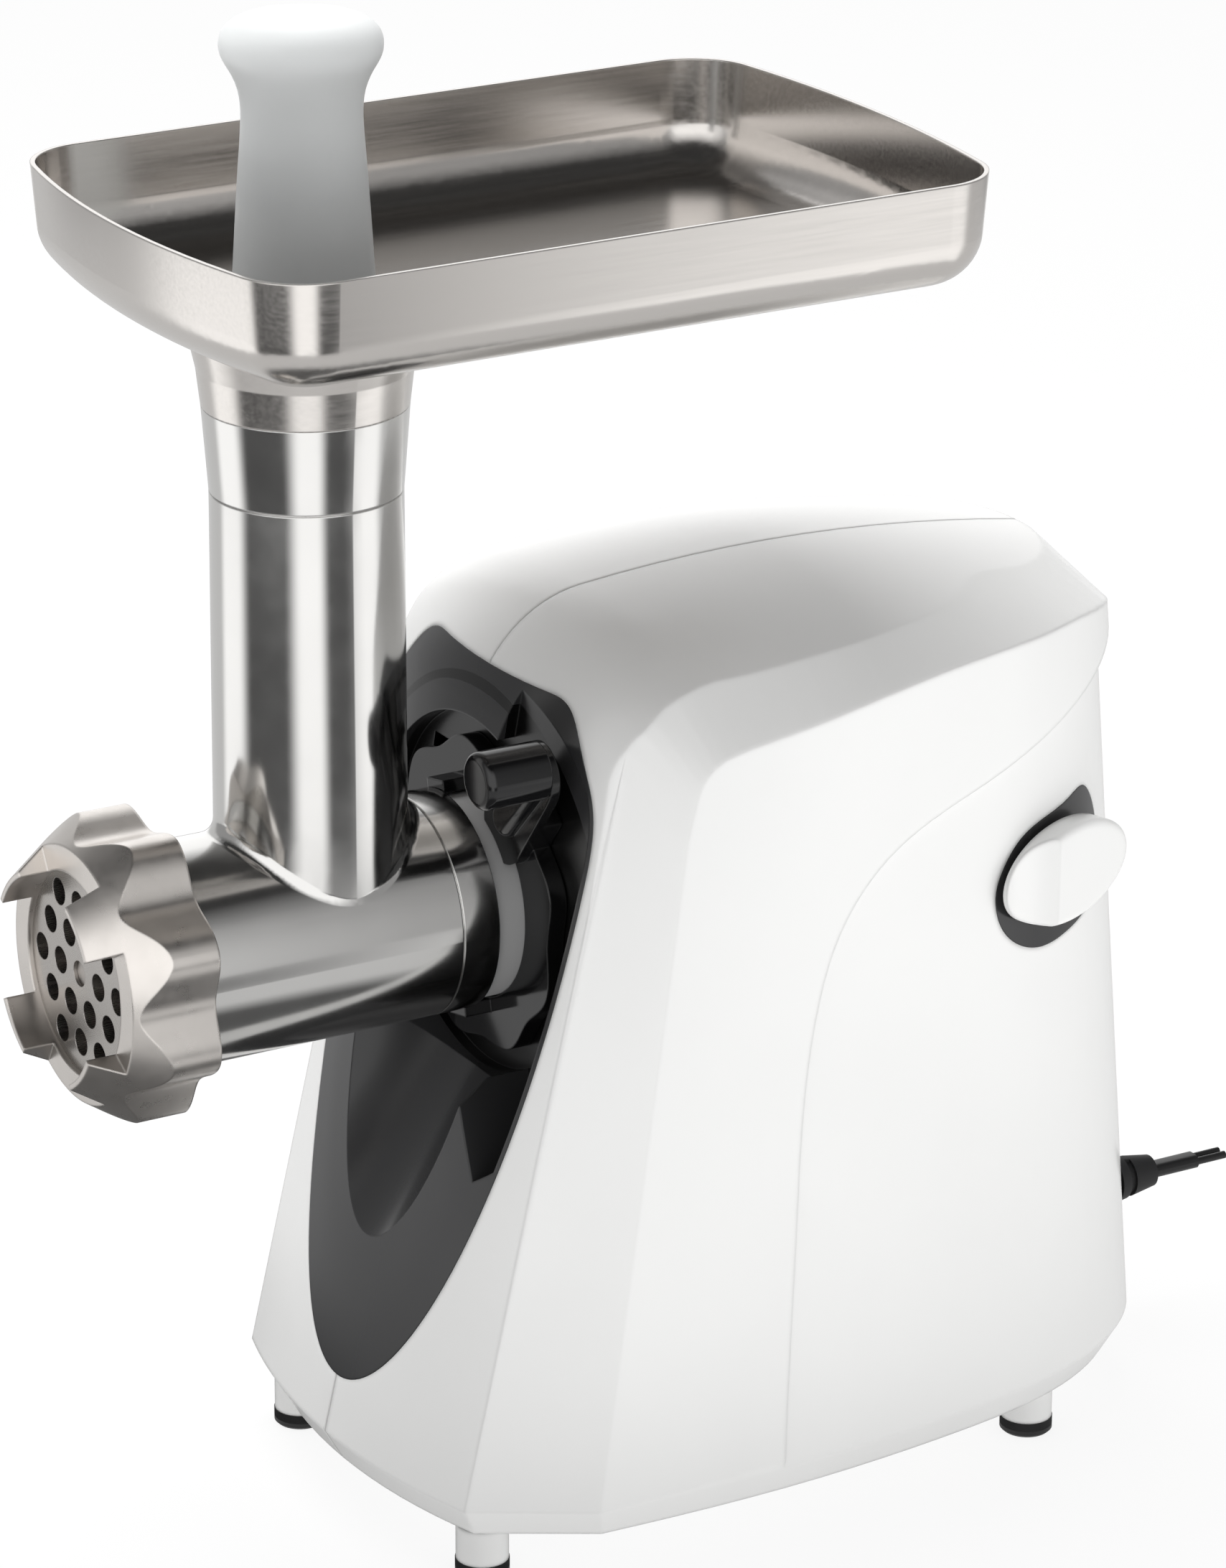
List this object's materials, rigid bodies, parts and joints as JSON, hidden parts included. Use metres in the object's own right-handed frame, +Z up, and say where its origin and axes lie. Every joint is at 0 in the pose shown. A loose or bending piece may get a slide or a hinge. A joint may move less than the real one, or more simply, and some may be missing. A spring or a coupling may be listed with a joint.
{
  "type": "electric meat grinder",
  "caption": "Countertop electric meat grinder: motor housing, geared drive, metal head with feed screw, knife and plate, lift-off tray and pusher.",
  "frame": {"origin": "on the worktop, at the bottom centre of the box round the part without its free cord", "axes": "+Z up, -Y towards the grinding head, +X towards the side with the control knob"},
  "size_m": [0.1684, 0.3885, 0.4304],
  "materials": {
    "white_plastic": "gloss",
    "dark_grey_plastic": "gloss",
    "black_plastic": "gloss",
    "grey_plastic": "satin",
    "black_rubber": "matte",
    "chrome_casting": "polished",
    "satin_aluminium": "satin",
    "satin_steel": "satin",
    "polished_steel": "polished",
    "frosted_plastic": "satin",
    "zinc_steel": "satin",
    "gear_steel": "satin",
    "gear_nylon": "satin",
    "die_cast_aluminium": "cast",
    "lamination_steel": "satin",
    "copper": "satin",
    "brass": "satin",
    "carbon": "matte"
  },
  "bodies": {
    "housing": {"base_plate": "white_plastic", "base_screws": "zinc_steel", "brush_holders": "brass", "carbon_brushes": "carbon", "cord_clamp": "black_plastic", "cord_cores": "black_rubber", "cord_jacket": "black_rubber", "foot_pads": "black_rubber", "foot_posts": "white_plastic", "front_bearing": "zinc_steel", "front_panel": "dark_grey_plastic", "gearbox_case": "die_cast_aluminium", "gearbox_cover": "die_cast_aluminium", "grinder_head": "chrome_casting", "head_socket": "grey_plastic", "housing_left": "white_plastic", "housing_right": "white_plastic", "housing_screws": "zinc_steel", "knob_bezel": "dark_grey_plastic", "motor_bolts": "zinc_steel", "motor_cradle": "grey_plastic", "motor_front_bell": "die_cast_aluminium", "motor_rear_bell": "die_cast_aluminium", "motor_stator": "lamination_steel", "rear_bearing": "zinc_steel", "rotary_switch": "black_plastic", "spindle_bush": "brass", "stator_coils": "copper", "strain_relief": "black_rubber"},
    "drive": {"output_gear": "gear_steel", "drive_spindle": "zinc_steel", "feed_screw": "satin_aluminium", "cutting_knife": "satin_steel"},
    "second": {"second_pinion": "gear_steel", "second_gear": "gear_nylon", "second_shaft": "zinc_steel"},
    "first": {"first_pinion": "gear_steel", "first_gear": "gear_nylon", "first_shaft": "zinc_steel"},
    "rotor": {"motor_pinion": "gear_steel", "motor_shaft": "zinc_steel", "armature_core": "lamination_steel", "armature_windings": "copper", "commutator": "copper", "cooling_fan": "grey_plastic"},
    "lock": {"lock_ring": "black_plastic", "lock_peg": "black_plastic"},
    "knob": {"control_knob": "white_plastic"},
    "tray": {"tray": "polished_steel"},
    "pusher": {"pusher": "frosted_plastic"},
    "plate": {"grinding_plate": "satin_steel"},
    "nut": {"ring_nut": "satin_aluminium"}
  },
  "joints": [
    {"name": "drive_spin", "type": "hinge", "parent": "housing", "child": "drive", "pos_m": [0, -0.04795, 0.1776], "axis": [0, -1, 0], "continuous": true},
    {"name": "second_spin", "type": "hinge", "parent": "housing", "child": "second", "pos_m": [0, -0.01795, 0.1371], "axis": [0, -1, 0], "continuous": true},
    {"name": "first_spin", "type": "hinge", "parent": "housing", "child": "first", "pos_m": [0.025, -0.00795, 0.12052], "axis": [0, -1, 0], "continuous": true},
    {"name": "rotor_spin", "type": "hinge", "parent": "housing", "child": "rotor", "pos_m": [0, 0.05205, 0.10622], "axis": [0, -1, 0], "continuous": true},
    {"name": "lock_turn", "type": "hinge", "parent": "housing", "child": "lock", "pos_m": [0, -0.04795, 0.1776], "axis": [0, 1, 0], "range_deg": [0, 25]},
    {"name": "knob_turn", "type": "hinge", "parent": "housing", "child": "knob", "pos_m": [0.06455, 0.10095, 0.1755], "axis": [0.9455, 0.3256, 0], "range_deg": [-45, 45]},
    {"name": "tray_lift", "type": "slide", "parent": "housing", "child": "tray", "axis": [0, 0, 1], "range_m": [0, 0.06]},
    {"name": "pusher_lift", "type": "slide", "parent": "tray", "child": "pusher", "axis": [0, 0, 1], "range_m": [0, 0.17]},
    {"name": "plate_slide", "type": "slide", "parent": "housing", "child": "plate", "axis": [0, -1, 0], "range_m": [0, 0.0091]},
    {"name": "nut_turn", "type": "hinge", "parent": "plate", "child": "nut", "pos_m": [0, -0.16295, 0.1776], "axis": [0, -1, 0], "range_deg": [0, 1080]}
  ],
  "couplings": [
    {"joint": "second_spin", "follows": "drive_spin", "ratio": -3.5},
    {"joint": "first_spin", "follows": "drive_spin", "ratio": 14},
    {"joint": "rotor_spin", "follows": "drive_spin", "ratio": -70},
    {"joint": "plate_slide", "follows": "nut_turn", "m_per_rad": 0.00047746}
  ]
}
